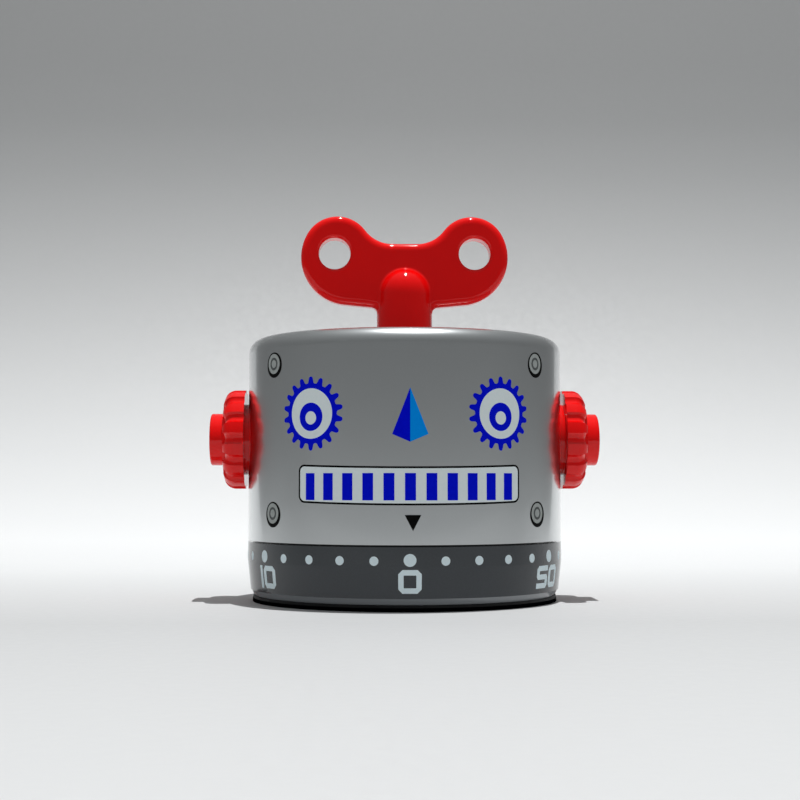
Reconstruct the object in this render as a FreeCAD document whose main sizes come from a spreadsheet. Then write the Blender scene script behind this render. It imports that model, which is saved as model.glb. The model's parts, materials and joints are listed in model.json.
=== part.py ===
import FreeCAD, Part
import math
import os
import re
import Sketcher

# Mechanical 60-minute timer with a robot's head: the head, its wind-up key and its two ears turn
# together over a fixed base that holds the movement.  Millimetres, +Z up, the face towards -Y.

SIZES = [
    # Casing
    ("case_r", 31.0, "outside radius of head and base"),
    ("foot_top", 0.7, "height of the rubber foot ring"),
    ("foot_r", 30.0, "outside radius of the foot ring"),
    ("foot_width", 1.6, "radial width of the foot ring"),
    ("cover_top", 2.3, "top of the bottom cover"),
    ("cover_lip", 1.2, "top of the bottom cover's rim"),
    ("cover_in", 0.1, "how far the cover stands inside the foot ring's outside"),
    ("cover_step", 0.7, "how far the cover's raised part stands inside it"),
    ("dial_top", 11.65, "top of the fixed dial ring"),
    ("bevel_top", 2.4, "top of the dial ring's lower bevel"),
    ("bevel_foot_in", 1.3, "how far the bevel's foot stands inside the case's outside"),
    ("bevel_top_in", 0.75, "how far the bevel's top stands inside it"),
    ("taper_top", 8.0, "height where the dial ring begins to narrow downwards"),
    ("taper_in", 0.6, "how much the dial ring has narrowed at the bevel"),
    ("dial_wall", 1.6, "wall of the dial ring"),
    ("deck_gap", 1.65, "thickness of the deck that closes the dial ring"),
    ("lug_ring", 19.5, "distance of the lugs' inner ends from the axis"),
    ("lug_width", 7.0, "width of the lugs that carry the movement"),
    ("lug_sunk", 0.3, "how far a lug runs into the dial ring's wall"),
    ("lug_gap", 0.1, "space between the cover and the lugs"),
    ("collar_r", 28.02, "outside radius of the collar the head turns on"),
    ("collar_wall", 1.4, "wall of the collar"),
    ("collar_top", 15.5, "top of the collar"),
    ("seam", 0.35, "open joint between dial ring and head"),
    ("head_top", 51.5, "top of the head"),
    ("head_wall", 0.8, "wall of the head shell"),
    ("head_round", 3.0, "outside rounding of the head's top edge"),
    ("bearing_play", 0.08, "radial play between collar and bearing ring"),
    ("fit_gap", 0.05, "radial gap of parts that are pressed or glued together"),
    ("hole_play", 0.1, "radial gap round an ear's spigot in the head"),
    ("key_hole_r", 4.3, "radius of the hole in the head for the key"),
    # Ears
    ("ear_height", 31.7, "height of the ears' axis"),
    ("ear_r", 9.8, "radius of an ear's fluted disc"),
    ("ear_back", 31.5, "distance of the disc's back face from the head's axis"),
    ("ear_rim", 1.85, "straight part of the disc's rim"),
    ("ear_round", 2.4, "radius of the disc's rounded front"),
    ("ear_nub_r", 5.15, "radius of the round nub"),
    ("nub_round", 0.4, "rounding of the nub's edge"),
    ("ear_end", 38.45, "distance of the nub's face from the head's axis"),
    ("ear_skin", 2.4, "thickness left between the screw hole and the nub's face"),
    ("ear_boss_r", 7.0, "radius of the boss that seats on the shell"),
    ("boss_sunk", 1.2, "depth of the boss before its seat is cut to the shell's curve"),
    ("ear_spigot_r", 2.3, "radius of the spigot through the shell"),
    ("ear_spigot_end", 29.95, "distance of the spigot's end from the head's axis"),
    ("ear_flutes", 14, "number of flutes round an ear"),
    ("flute_r", 1.5, "radius of a flute"),
    ("flute_out", 0.95, "distance of a flute's centre line outside the disc's surface"),
    ("pilot_r", 1.15, "radius of the screw hole in an ear"),
    ("ear_screw_r", 1.1, "radius of an ear screw"),
    ("screw_short", 0.3, "space at the end of an ear screw"),
    ("ear_screw_head_r", 2.4, "radius of an ear screw's head"),
    ("ear_screw_head", 1.6, "height of an ear screw's head"),
    ("washer_r", 4.2, "radius of an ear's washer"),
    ("washer_thick", 0.6, "thickness of an ear's washer"),
    # Wind-up key
    ("key_thick", 5.0, "thickness of the key's blade"),
    ("lobe_x", 13.45, "sideways distance of a lobe's centre"),
    ("lobe_z", 69.5, "height of a lobe's centre"),
    ("lobe_r", 6.95, "radius of a lobe"),
    ("valley_z", 70.95, "height of the flat between the lobes"),
    ("valley_r", 6.8, "radius of the hollow beside a lobe"),
    ("belly_x", 11.15, "sideways distance of the centre of the blade's lower curve"),
    ("belly_z", 68.2, "height of the centre of the blade's lower curve"),
    ("belly_lean", 5.5, "slope of the blade's lower edge towards the stem, degrees"),
    ("stem_corner", 1.2, "radius of the corner between stem and lower edge"),
    ("key_round", 1.5, "rounding of the blade's edges"),
    ("eye_x", 14.0, "sideways distance of a finger hole"),
    ("eye_z", 68.85, "height of a finger hole"),
    ("eye_r", 3.15, "radius of a finger hole"),
    ("eye_round", 0.7, "rounding of a finger hole's edges"),
    ("stem_r", 5.55, "radius of the key's stem"),
    ("stem_foot", 51.6, "height of the stem's foot, just above the head"),
    ("stem_blend", 0.8, "radius where the stem's round end runs into the blade"),
    ("dome_z", 60.8, "height of the centre of the stem's round end"),
    ("spigot_r", 4.0, "radius of the key's spigot inside the head"),
    ("spigot_end", 42.5, "height of the spigot's lower end"),
    ("spigot_flat", 3.1, "distance of the spigot's flat from the axis"),
    ("clip_groove", 0.6, "depth of the groove for the retaining clip"),
    ("clip_z", 44.2, "underside of the key's retaining clip"),
    ("clip_thick", 0.7, "thickness of the retaining clip"),
    ("hub_foot", 45.0, "lower end of the hub under the head's top"),
    ("hub_r", 27.6, "radius of the hub's disc"),
    ("hub_thick", 1.8, "thickness of the hub's disc and its gap under the head's top"),
    ("hub_wall", 2.5, "wall of the hub round the key's spigot"),
    # Fasteners
    ("overrun", 1.0, "how far a cutting tool passes the surface it cuts"),
    ("slot_width", 0.5, "width of the screws' slots"),
    ("cap_r", 1.9, "radius of the heads of cover and movement screws"),
    ("cap_height", 0.8, "height of those heads"),
    ("cap_gap", 0.1, "space above a cover screw's head"),
    ("cap_sink_r", 2.1, "radius of the recesses for the cover screws"),
    ("cover_shaft_r", 0.9, "radius of the cover screws"),
    ("movement_shaft_r", 0.8, "radius of the movement screws"),
    ("stud_r", 1.0, "radius of the pillars' riveted feet and studs"),
    ("nut_height", 1.4, "height of the nuts"),
    # Movement frame
    ("plate_r", 25.0, "radius of the movement's bottom plate"),
    ("top_plate_r", 24.6, "radius of the movement's top plate"),
    ("low_plate_z", 5.6, "underside of the bottom plate"),
    ("high_plate_z", 21.8, "underside of the top plate"),
    ("plate_thick", 1.0, "thickness of both plates"),
    ("pillar_ring", 22.6, "distance of the pillars from the axis"),
    ("pillar_r", 1.6, "radius of a pillar"),
    ("screw_ring", 22.8, "distance of the movement screws from the axis"),
    ("cover_screw_ring", 25.8, "distance of the cover screws from the axis"),
    ("pivot_r", 0.4, "radius of the pivots"),
    ("pivot_play", 0.05, "radial play of the pivots"),
    ("arbor_r", 0.55, "radius of the arbors"),
    ("shake", 0.1, "end play of the arbors"),
    ("main_r", 2.0, "radius of the main arbor"),
    ("main_pivot_r", 1.5, "radius of the main arbor's lower pivot"),
    ("main_top", 49.0, "height of the main arbor's top"),
    # Wheels
    ("main_module", 0.36, "module of the great wheel"),
    ("great_teeth", 80, "teeth of the great wheel"),
    ("great_z", 14.8, "underside of the great wheel"),
    ("second_module", 0.3, "module of the second wheel"),
    ("second_teeth", 60, "teeth of the second wheel"),
    ("second_z", 16.7, "underside of the second wheel"),
    ("third_module", 0.26, "module of the third wheel"),
    ("third_teeth", 64, "teeth of the third wheel"),
    ("third_z", 20.3, "underside of the third wheel"),
    ("leaves", 8, "leaves of the pinions"),
    ("alarm_leaves", 10, "leaves of the alarm pinion"),
    ("wheel_thick", 0.6, "thickness of the wheels"),
    ("second_turn", 60.0, "direction of the second arbor, degrees"),
    ("third_ring", 15.8, "distance of the third arbor from the axis"),
    ("escape_ring", 17.5, "distance of the escape arbor from the axis"),
    ("escape_r", 6.0, "radius of the escape wheel"),
    ("escape_teeth", 15, "teeth of the escape wheel"),
    ("escape_z", 18.2, "underside of the escape wheel"),
    ("pallet_ring", 17.0, "distance of the pallet arbor from the axis"),
    ("pallet_reach", 7.0, "distance from escape arbor to pallet arbor"),
    ("lever_z", 17.4, "underside of the pallet lever"),
    ("lever_thick", 0.6, "thickness of the pallet lever"),
    ("pallet_pin_r", 0.3, "radius of the pallet pins"),
    ("pallet_pin_ring", 6.75, "distance of the pallet pins from the escape arbor"),
    ("pallet_pin_turn", 30.0, "angle between a pallet pin and the lever, at the escape arbor"),
    ("balance_ring", 16.5, "distance of the balance staff from the axis"),
    ("balance_reach", 10.0, "distance from pallet arbor to balance staff"),
    ("balance_r", 7.5, "radius of the balance wheel"),
    ("balance_z", 16.4, "underside of the balance wheel"),
    ("balance_thick", 0.8, "thickness of the balance wheel"),
    ("balance_rim", 1.3, "width of the balance wheel's rim"),
    ("roller_ring", 1.6, "distance of the roller pin from the balance staff"),
    ("alarm_turn", 300.0, "direction of the alarm arbor, degrees"),
    ("star_r", 4.0, "radius of the star wheel"),
    ("bell_level", 24.9, "underside of the star wheel and the hammer's arm"),
    ("hammer_ring", 15.8, "distance of the hammer arbor from the axis"),
    ("hammer_turn", 250.0, "direction of the hammer arbor, degrees"),
    ("hammer_head_ring", 19.0, "distance of the hammer's head from the axis"),
    ("hammer_head_turn", 222.0, "direction of the hammer's head, degrees"),
    ("hammer_r", 1.6, "radius of the hammer's head"),
    ("cam_r", 5.6, "radius of the alarm cam"),
    ("cam_z", 19.0, "underside of the alarm cam"),
    ("cam_thick", 0.8, "thickness of the alarm cam"),
    ("stop_height", 1.5, "height of the stop pin on the cam"),
    ("stop_ring", 5.1, "distance of the stop pin and stop post from the axis"),
    ("stop_r", 0.35, "radius of the stop pin and stop post"),
    ("ratchet_r", 5.0, "radius of the ratchet wheel"),
    ("ratchet_teeth", 18, "teeth of the ratchet wheel"),
    ("ratchet_z", 13.9, "underside of the ratchet wheel"),
    ("click_ring", 8.5, "distance of the click's post from the axis"),
    ("click_post_r", 0.7, "radius of the click's post"),
    ("fixed_gap", 0.02, "radial gap of wheels and hammer pressed on their arbors"),
    ("leaf_under", 0.4, "how far the pinions' leaves reach below their wheels"),
    ("tooth_plate", 0.7, "thickness of the escape wheel and the star wheel"),
    # Springs
    ("spring_z", 7.4, "lower edge of the mainspring"),
    ("spring_width", 5.8, "height of the mainspring's strip"),
    ("spring_start", 2.6, "inside radius of the mainspring"),
    ("spring_thick", 0.35, "thickness of the mainspring's strip"),
    ("spring_pitch", 1.0, "distance between the mainspring's turns"),
    ("spring_turns", 8, "turns of the mainspring"),
    ("hair_z", 19.9, "lower edge of the hairspring"),
    ("hair_start", 0.9, "inside radius of the hairspring"),
    ("hair_thick", 0.12, "thickness of the hairspring's strip"),
    ("hair_pitch", 0.8, "distance between the hairspring's turns"),
    ("hair_turns", 5, "turns of the hairspring"),
    # Bell
    ("bell_r", 22.0, "outside radius of the bell"),
    ("bell_foot", 26.2, "height of the bell's rim"),
    ("bell_top", 35.5, "height of the bell's top"),
    ("bell_wall", 0.9, "wall of the bell"),
    ("bell_round", 4.0, "rounding of the bell's shoulder"),
    ("post_r", 3.4, "outside radius of the bell's post"),
    ("post_bore", 2.2, "bore of the bell's post"),
    ("post_thread", 2.9, "radius of the post's threaded end"),
]
ALIASES = {alias for alias, size, meaning in SIZES}
Vec = FreeCAD.Vector
THIRDS = (60, 195, 330)
PILLARS = (25, 165, 235, 305)

doc = FreeCAD.newDocument("RobotTimer")
sheet = doc.addObject("Spreadsheet::Sheet", "Sizes")
for row, (alias, size, meaning) in enumerate(SIZES, start=1):
    sheet.set(f"A{row}", meaning)
    sheet.set(f"B{row}", str(size))
    sheet.setAlias(f"B{row}", alias)
doc.recompute()


def bind(formula):
    """Name the sheet in front of each of its aliases in a formula."""
    def named(word):
        return "Sizes." + word.group() if word.group() in ALIASES else word.group()
    return re.sub(r"[a-z_][a-z0-9_]*", named, str(formula))


def value(formula):
    """A formula's present value."""
    result = sheet.evalExpression(bind(formula))
    return float(getattr(result, "Value", result))


def polar(ring, turn, centre=("0", "0")):
    """Formulas for the place at a distance and direction (degrees) from a centre."""
    across = f"({centre[0]}) + ({ring}) * cos(({turn}) * 1deg)"
    along = f"({centre[1]}) + ({ring}) * sin(({turn}) * 1deg)"
    return across, along


def turn_between(ring, other_ring, reach):
    """Formula for the angle at the axis between two arbors that stand a reach apart."""
    cosine = f"(({ring})^2 + ({other_ring})^2 - ({reach})^2) / (2 * ({ring}) * ({other_ring}))"
    return f"acos({cosine}) / 1deg"


# Arbor places, each one round the axis from the last by the distance its wheels need.
SECOND_RING = "main_module * (great_teeth + leaves) / 2"
SECOND = polar(SECOND_RING, "second_turn")
SECOND_TO_THIRD = "second_module * (second_teeth + leaves) / 2"
THIRD_TURN = "second_turn + " + turn_between(SECOND_RING, "third_ring", SECOND_TO_THIRD)
THIRD = polar("third_ring", THIRD_TURN)
THIRD_TO_ESCAPE = "third_module * (third_teeth + leaves) / 2"
ESCAPE_TURN = f"{THIRD_TURN} + " + turn_between("third_ring", "escape_ring", THIRD_TO_ESCAPE)
ESCAPE = polar("escape_ring", ESCAPE_TURN)
PALLET_TURN = f"{ESCAPE_TURN} + {turn_between('escape_ring', 'pallet_ring', 'pallet_reach')}"
PALLET = polar("pallet_ring", PALLET_TURN)
BALANCE_TURN = f"{PALLET_TURN} + {turn_between('pallet_ring', 'balance_ring', 'balance_reach')}"
BALANCE = polar("balance_ring", BALANCE_TURN)
ALARM = polar("main_module * (great_teeth + alarm_leaves) / 2", "alarm_turn")
HAMMER = polar("hammer_ring", "hammer_turn")
HAMMER_HEAD = polar("hammer_head_ring", "hammer_head_turn")
ARBORS = (SECOND, THIRD, ESCAPE, PALLET, BALANCE, ALARM, HAMMER)
HIGH_TOP = "high_plate_z + plate_thick"
LOW_TOP = "low_plate_z + plate_thick"


def direction(start, end):
    """Direction in degrees from one place to another."""
    return math.degrees(math.atan2(value(end[1]) - value(start[1]), value(end[0]) - value(start[0])))


def distance(start, end):
    """Distance from one place to another."""
    return math.hypot(value(end[1]) - value(start[1]), value(end[0]) - value(start[0]))


# ---------------------------------------------------------------- building blocks

def place(item, x="0", y="0", z="0"):
    """Bind an object's position to formulas."""
    for axis, formula in zip("xyz", (x, y, z)):
        item.setExpression(f"Placement.Base.{axis}", bind(formula))
    return item


def rod(name, radius, low, high, spot=("0", "0")):
    """An upright cylinder between two heights."""
    item = doc.addObject("Part::Cylinder", name)
    item.setExpression("Radius", bind(radius))
    item.setExpression("Height", bind(f"({high}) - ({low})"))
    return place(item, spot[0], spot[1], low)


def lying_rod(name, radius, near, far, height, side):
    """A cylinder along X on one side, between two distances from the head's axis."""
    item = doc.addObject("Part::Cylinder", name)
    item.setExpression("Radius", bind(radius))
    item.setExpression("Height", bind(f"({far}) - ({near})"))
    item.Placement = FreeCAD.Placement(Vec(), FreeCAD.Rotation(Vec(0, 1, 0), 90 * side))
    return place(item, f"{side} * ({near})", "0", height)


def bar(name, length, width, low, high, spot, turn, start="0"):
    """A flat bar that runs from a place in a direction, its middle line through the place."""
    item = doc.addObject("Part::Box", name)
    item.setExpression("Length", bind(length))
    item.setExpression("Width", bind(width))
    item.setExpression("Height", bind(f"({high}) - ({low})"))
    item.Placement = FreeCAD.Placement(Vec(), FreeCAD.Rotation(Vec(0, 0, 1), turn))
    corner = polar(start, turn, polar(f"({width}) / 2", turn - 90, spot))
    return place(item, corner[0], corner[1], low)


def joined(name, pieces):
    """One solid from touching pieces."""
    item = doc.addObject("Part::MultiFuse", name)
    item.Shapes = pieces
    return item


def cut(name, base, tools):
    """A piece with the tools taken out of it."""
    item = doc.addObject("Part::Cut", name)
    item.Base = base
    item.Tool = tools[0] if len(tools) == 1 else joined(name + "_tools", tools)
    return item


def arc_between(start, end, radius, side):
    """The short arc between two points; side 1 puts its centre left of the way, -1 right."""
    chord = end - start
    left = Vec(-chord.y, chord.x, 0).normalize()
    rise = math.sqrt(max(radius ** 2 - (chord.Length / 2) ** 2, 0))
    centre = (start + end) * 0.5 + left * side * rise
    first, last = (start, end) if side > 0 else (end, start)
    angles = [math.atan2(spot.y - centre.y, spot.x - centre.x) for spot in (first, last)]
    if angles[1] < angles[0]:
        angles[1] += 2 * math.pi
    return Part.ArcOfCircle(Part.Circle(centre, Vec(0, 0, 1), radius), angles[0], angles[1])


def outline(body, name, role, points):
    """A closed outline on one of the body's own planes.

    Each point is a pair of formulas; a point with a radius and a side as well starts an arc."""
    sketch = body.newObject("Sketcher::SketchObject", name)
    support = next(item for item in body.Origin.OriginFeatures if item.Role == role)
    sketch.AttachmentSupport = (support, [""])
    sketch.MapMode = "FlatFace"
    spots = [Vec(value(point[0]), value(point[1]), 0) for point in points]
    for index, point in enumerate(points):
        end = spots[(index + 1) % len(points)]
        if len(point) == 4:
            sketch.addGeometry(arc_between(spots[index], end, value(point[2]), point[3]), False)
        else:
            sketch.addGeometry(Part.LineSegment(spots[index], end), False)
    flipped = [len(point) == 4 and point[3] < 0 for point in points]
    for index, point in enumerate(points):
        after = (index + 1) % len(points)
        ends = (index, 1 if flipped[index] else 2, after, 2 if flipped[after] else 1)
        sketch.addConstraint(Sketcher.Constraint("Coincident", *ends))
    for index, point in enumerate(points):
        start = 2 if flipped[index] else 1
        for kind, formula in (("DistanceX", point[0]), ("DistanceY", point[1])):
            rule = Sketcher.Constraint(kind, -1, 1, index, start, value(formula))
            number = sketch.addConstraint(rule)
            sketch.setExpression(f"Constraints[{number}]", bind(formula))
        if len(point) == 4:
            number = sketch.addConstraint(Sketcher.Constraint("Radius", index, value(point[2])))
            sketch.setExpression(f"Constraints[{number}]", bind(point[2]))
    sketch.Visibility = False
    return sketch


def turned(name, points, body=None):
    """A body turned about its own Z axis from an outline of (radius, height) points.

    With a body given, the turned shape is added to that body instead."""
    if body is None:
        body = doc.addObject("PartDesign::Body", name)
    sketch = outline(body, name + "_section", "XZ_Plane", points)
    turning = body.newObject("PartDesign::Revolution", name + "_turning")
    turning.Profile = sketch
    turning.ReferenceAxis = (sketch, ["V_Axis"])
    turning.Angle = 360
    body.Tip = turning
    doc.recompute()
    return body


def edges_where(feature, test):
    """Names of a feature's edges that pass a test."""
    return [f"Edge{number}" for number, edge in enumerate(feature.Shape.Edges, start=1) if test(edge)]


def rounded(body, name, radius, test):
    """Round the edges of a body's last feature that pass a test."""
    base = body.Tip
    rounding = body.newObject("PartDesign::Fillet", name)
    rounding.Base = (base, edges_where(base, test))
    rounding.setExpression("Radius", bind(radius))
    body.Tip = rounding
    doc.recompute()


def ring(name, inner, outer, low, high):
    """A tube between two heights."""
    return turned(name, [(inner, low), (outer, low), (outer, high), (inner, high)])


def solid(name, shape):
    """A document object that holds a ready shape."""
    item = doc.addObject("Part::Feature", name)
    item.Shape = shape
    return item


def extruded(points, thickness, bore=0.0, windows=()):
    """A flat plate from a closed list of points, with an optional bore and round windows."""
    wire = Part.makePolygon(points + [points[0]])
    face = Part.Face(wire)
    holes = [(Vec(), bore)] if bore else []
    for centre, radius in holes + list(windows):
        circle = Part.Face(Part.Wire(Part.makeCircle(radius, centre)))
        face = face.cut(circle)
    return face.extrude(Vec(0, 0, thickness))


def round_about(radius, degrees):
    """The point at a radius and direction from the origin."""
    angle = math.radians(degrees)
    return Vec(radius * math.cos(angle), radius * math.sin(angle), 0)


def round_windows(count, distance, radius, shift=0.0):
    """Centres and radii of the round windows that lighten a wheel."""
    return [(round_about(distance, 360.0 * (number + shift) / count), radius) for number in range(count)]


def gear(name, teeth, module, thickness, low, spot, phase, bore=0.0, windows=0, fullness=0.40):
    """A spur wheel with straight-sided teeth, one of them centred on the phase angle.

    The fullness is a tooth's share of the pitch; a root and a tip are parts of that share."""
    count = round(value(teeth))
    size = value(module)
    pitch_r = size * count / 2
    share = 360.0 / count
    root_r, root_half = pitch_r - 1.2 * size, 0.66 * fullness * share
    tip_r, tip_half = pitch_r + 0.75 * size, 0.28 * fullness * share
    points = []
    for tooth in range(count):
        middle = phase + tooth * share
        points += [round_about(root_r, middle - root_half), round_about(tip_r, middle - tip_half),
                   round_about(tip_r, middle + tip_half), round_about(root_r, middle + root_half)]
    holes = round_windows(windows, 0.56 * pitch_r, 0.24 * pitch_r, 0.5)
    item = solid(name, extruded(points, value(thickness), value(bore), holes))
    return place(item, spot[0], spot[1], low)


def mesh_phase(wheel_phase, wheel_teeth, pinion_teeth, towards):
    """Phase of a pinion whose teeth stand in the gaps of the wheel that it meshes with."""
    slip = (wheel_phase - towards) * value(wheel_teeth) / value(pinion_teeth)
    return towards + 180 - slip + 180 / value(pinion_teeth)


def saw_wheel(name, teeth, radius, depth, lean, thickness, low, spot, bore, windows=0):
    """A wheel with pointed, leaning teeth."""
    count = round(value(teeth))
    share = 360.0 / count
    points = []
    for tooth in range(count):
        points.append(round_about(value(radius) - depth, tooth * share))
        points.append(round_about(value(radius), (tooth + lean) * share))
    holes = round_windows(windows, 0.45 * value(radius), 0.16 * value(radius))
    item = solid(name, extruded(points, value(thickness), value(bore), holes))
    return place(item, spot[0], spot[1], low)


def spiral(name, start, thick, pitch, turns, low, width, spot=("0", "0")):
    """A flat spiral strip made of half circles about two centres."""
    step = value(pitch) / 2
    inner, outer = [], []
    for half in range(2 * round(value(turns))):
        centre = Vec(step * (half % 2), 0, 0)
        side = 1 if half % 2 == 0 else -1
        for edges, extra in ((inner, 0.0), (outer, value(thick))):
            radius = value(start) + extra + half * step
            begin = centre + Vec(side * radius, 0, 0)
            middle = centre + Vec(0, side * radius, 0)
            edges.append(Part.Arc(begin, middle, centre - Vec(side * radius, 0, 0)).toShape())
    caps = []
    for index, key in ((0, 0), (-1, -1)):
        caps.append(Part.makeLine(inner[index].Vertexes[key].Point, outer[index].Vertexes[key].Point))
    wire = Part.Wire(Part.__sortEdges__(inner + outer + caps))
    item = solid(name, Part.Face(wire).extrude(Vec(0, 0, value(width))))
    return place(item, spot[0], spot[1], low)


def arbor(name, spot, extra, top=None, low_end=None):
    """An arbor with a pivot in each plate, and whatever is fixed to it.

    An arbor that works above the top plate keeps its full radius up to the top given."""
    body_low = f"{LOW_TOP} + shake"
    if top is None:
        body_high = "high_plate_z - shake"
        ends = [rod(name + "_top", "pivot_r", "high_plate_z - shake", f"{HIGH_TOP} - 0.2", spot)]
    else:
        body_high = top
        ends = []
    ends.append(rod(name + "_foot", "pivot_r", "low_plate_z + 0.2", body_low, spot))
    return joined(name, [rod(name + "_body", "arbor_r", body_low, body_high, spot)] + ends + extra)


# ---------------------------------------------------------------- base

def make_base():
    ring("foot_ring", "foot_r - foot_width", "foot_r", "0", "foot_top")
    cover = turned("cover_blank", [
        ("0", "foot_top"), ("foot_r - cover_in", "foot_top"), ("foot_r - cover_in", "cover_lip"),
        ("foot_r - cover_step", "cover_lip"), ("foot_r - cover_step", "cover_top"), ("0", "cover_top")])
    holes = []
    for turn in THIRDS:
        spot = polar("cover_screw_ring", turn)
        holes.append(rod(f"cover_sink_{turn}", "cap_sink_r", "foot_top - overrun",
                         "foot_top + cap_height + cap_gap + fit_gap", spot))
        holes.append(rod(f"cover_hole_{turn}", "cover_shaft_r + 0.2", "foot_top", "cover_top + overrun",
                         spot))
    cut("bottom_cover", cover, holes)
    for number, turn in enumerate(THIRDS, start=1):
        spot = polar("cover_screw_ring", turn)
        slot = bar(f"cover_slot_{number}", "2 * cap_sink_r", "slot_width", "foot_top", "foot_top + 0.4",
                   polar("-cap_sink_r", turn, spot), turn)
        head_top = "foot_top + cap_gap + cap_height"
        screw = joined(f"cover_screw_blank_{number}", [
            rod(f"cover_screw_head_{number}", "cap_r", "foot_top + cap_gap", head_top, spot),
            rod(f"cover_screw_shaft_{number}", "cover_shaft_r", head_top, "low_plate_z - 0.3", spot)])
        cut(f"cover_screw_{number}", screw, [slot])

    blank = turned("dial_blank", [
        ("foot_r - cover_step + fit_gap", "cover_lip + fit_gap"),
        ("case_r - bevel_foot_in", "cover_lip + fit_gap"),
        ("case_r - bevel_top_in", "bevel_top"), ("case_r - taper_in", "bevel_top"), ("case_r", "taper_top"),
        ("case_r", "dial_top"), ("collar_r", "dial_top"), ("collar_r", "collar_top"),
        ("collar_r - collar_wall", "collar_top"), ("collar_r - collar_wall", "dial_top - deck_gap"),
        ("case_r - dial_wall", "dial_top - deck_gap"), ("case_r - dial_wall", "taper_top")])
    lugs, lug_holes = [], []
    for turn in THIRDS:
        lugs.append(bar(f"lug_{turn}", "case_r - dial_wall + lug_sunk - lug_ring", "lug_width",
                        "cover_top + lug_gap", "low_plate_z", ("0", "0"), turn, "lug_ring"))
        spot = polar("cover_screw_ring", turn)
        lug_holes.append(rod(f"lug_hole_{turn}", "cover_shaft_r + fit_gap", "cover_top",
                             "low_plate_z - 0.2", spot))
        spot = polar("screw_ring", turn)
        lug_holes.append(rod(f"lug_tap_{turn}", "movement_shaft_r + fit_gap", "cover_top + 0.6",
                             "low_plate_z + overrun", spot))
    cut("dial_base", joined("dial_with_lugs", [blank] + lugs), lug_holes)


def make_frame_plates():
    pivot_holes = [rod(f"low_pivot_{number}", "pivot_r + pivot_play", "low_plate_z - overrun",
                       f"{LOW_TOP} + overrun", spot)
                   for number, spot in enumerate(ARBORS)]
    pivot_holes.append(rod("low_main_hole", "main_pivot_r + pivot_play", "low_plate_z - overrun",
                           f"{LOW_TOP} + overrun"))
    for turn in THIRDS:
        pivot_holes.append(rod(f"plate_screw_hole_{turn}", "stud_r", "low_plate_z - overrun",
                               f"{LOW_TOP} + overrun", polar("screw_ring", turn)))
    for turn in PILLARS:
        pivot_holes.append(rod(f"low_pillar_hole_{turn}", "stud_r + fit_gap", "low_plate_z - overrun",
                               f"{LOW_TOP} + overrun", polar("pillar_ring", turn)))
    post_ring = "spring_start + spring_turns * spring_pitch + spring_thick + 0.8"
    low = joined("low_plate_blank", [
        rod("low_disc", "plate_r", "low_plate_z", LOW_TOP),
        rod("spring_post", "0.6", LOW_TOP, "spring_z + spring_width", polar(post_ring, 0))])
    cut("bottom_plate", low, pivot_holes)

    high_holes = []
    for number, spot in enumerate(ARBORS):
        play = "arbor_r + pivot_play" if spot in (ALARM, HAMMER) else "pivot_r + pivot_play"
        high_holes.append(rod(f"high_pivot_{number}", play, "high_plate_z - overrun",
                              f"{HIGH_TOP} + overrun", spot))
    high_holes.append(rod("high_main_hole", "main_r + pivot_play", "high_plate_z - overrun",
                          f"{HIGH_TOP} + overrun"))
    for turn in PILLARS:
        high_holes.append(rod(f"high_pillar_hole_{turn}", "stud_r + fit_gap", "high_plate_z - overrun",
                              f"{HIGH_TOP} + overrun", polar("pillar_ring", turn)))
    high = joined("high_plate_blank", [
        rod("high_disc", "top_plate_r", "high_plate_z", HIGH_TOP),
        rod("stop_post", "stop_r", "cam_z + 1.1", "high_plate_z", polar("stop_ring", 90)),
        rod("hair_stud", "0.35", "hair_z", "high_plate_z",
            polar("hair_start + hair_turns * hair_pitch + hair_thick + 0.4", 0, BALANCE))])
    cut("top_plate", high, high_holes)

    for number, turn in enumerate(PILLARS, start=1):
        spot = polar("pillar_ring", turn)
        joined(f"pillar_{number}", [
            rod(f"pillar_body_{number}", "pillar_r", LOW_TOP, "high_plate_z", spot),
            rod(f"pillar_foot_{number}", "stud_r", "low_plate_z", LOW_TOP, spot),
            rod(f"pillar_stud_{number}", "stud_r", "high_plate_z", f"{HIGH_TOP} + 1.5", spot)])
        nut = doc.addObject("Part::Prism", f"nut_blank_{number}")
        nut.Polygon = 6
        nut.setExpression("Circumradius", bind("pillar_r + 0.5"))
        nut.setExpression("Height", bind("nut_height"))
        place(nut, spot[0], spot[1], HIGH_TOP)
        cut(f"pillar_nut_{number}", nut, [rod(f"nut_bore_{number}", "stud_r + fixed_gap", HIGH_TOP,
                                              f"{HIGH_TOP} + 3", spot)])
    for number, turn in enumerate(THIRDS, start=1):
        spot = polar("screw_ring", turn)
        screw = joined(f"movement_screw_blank_{number}", [
            rod(f"movement_screw_head_{number}", "cap_r", LOW_TOP, f"{LOW_TOP} + cap_height", spot),
            rod(f"movement_screw_shaft_{number}", "movement_shaft_r", "cover_top + 0.8", LOW_TOP, spot)])
        slot = bar(f"movement_slot_{number}", "2 * cap_sink_r", "slot_width", f"{LOW_TOP} + cap_height / 2",
                   f"{LOW_TOP} + cap_height + overrun", polar("-cap_sink_r", turn, spot), turn)
        cut(f"movement_screw_{number}", screw, [slot])


def make_springs():
    spiral("mainspring", "spring_start", "spring_thick", "spring_pitch", "spring_turns", "spring_z",
           "spring_width")
    spiral("hairspring", "hair_start", "hair_thick", "hair_pitch", "hair_turns", "hair_z", "0.4", BALANCE)


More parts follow.
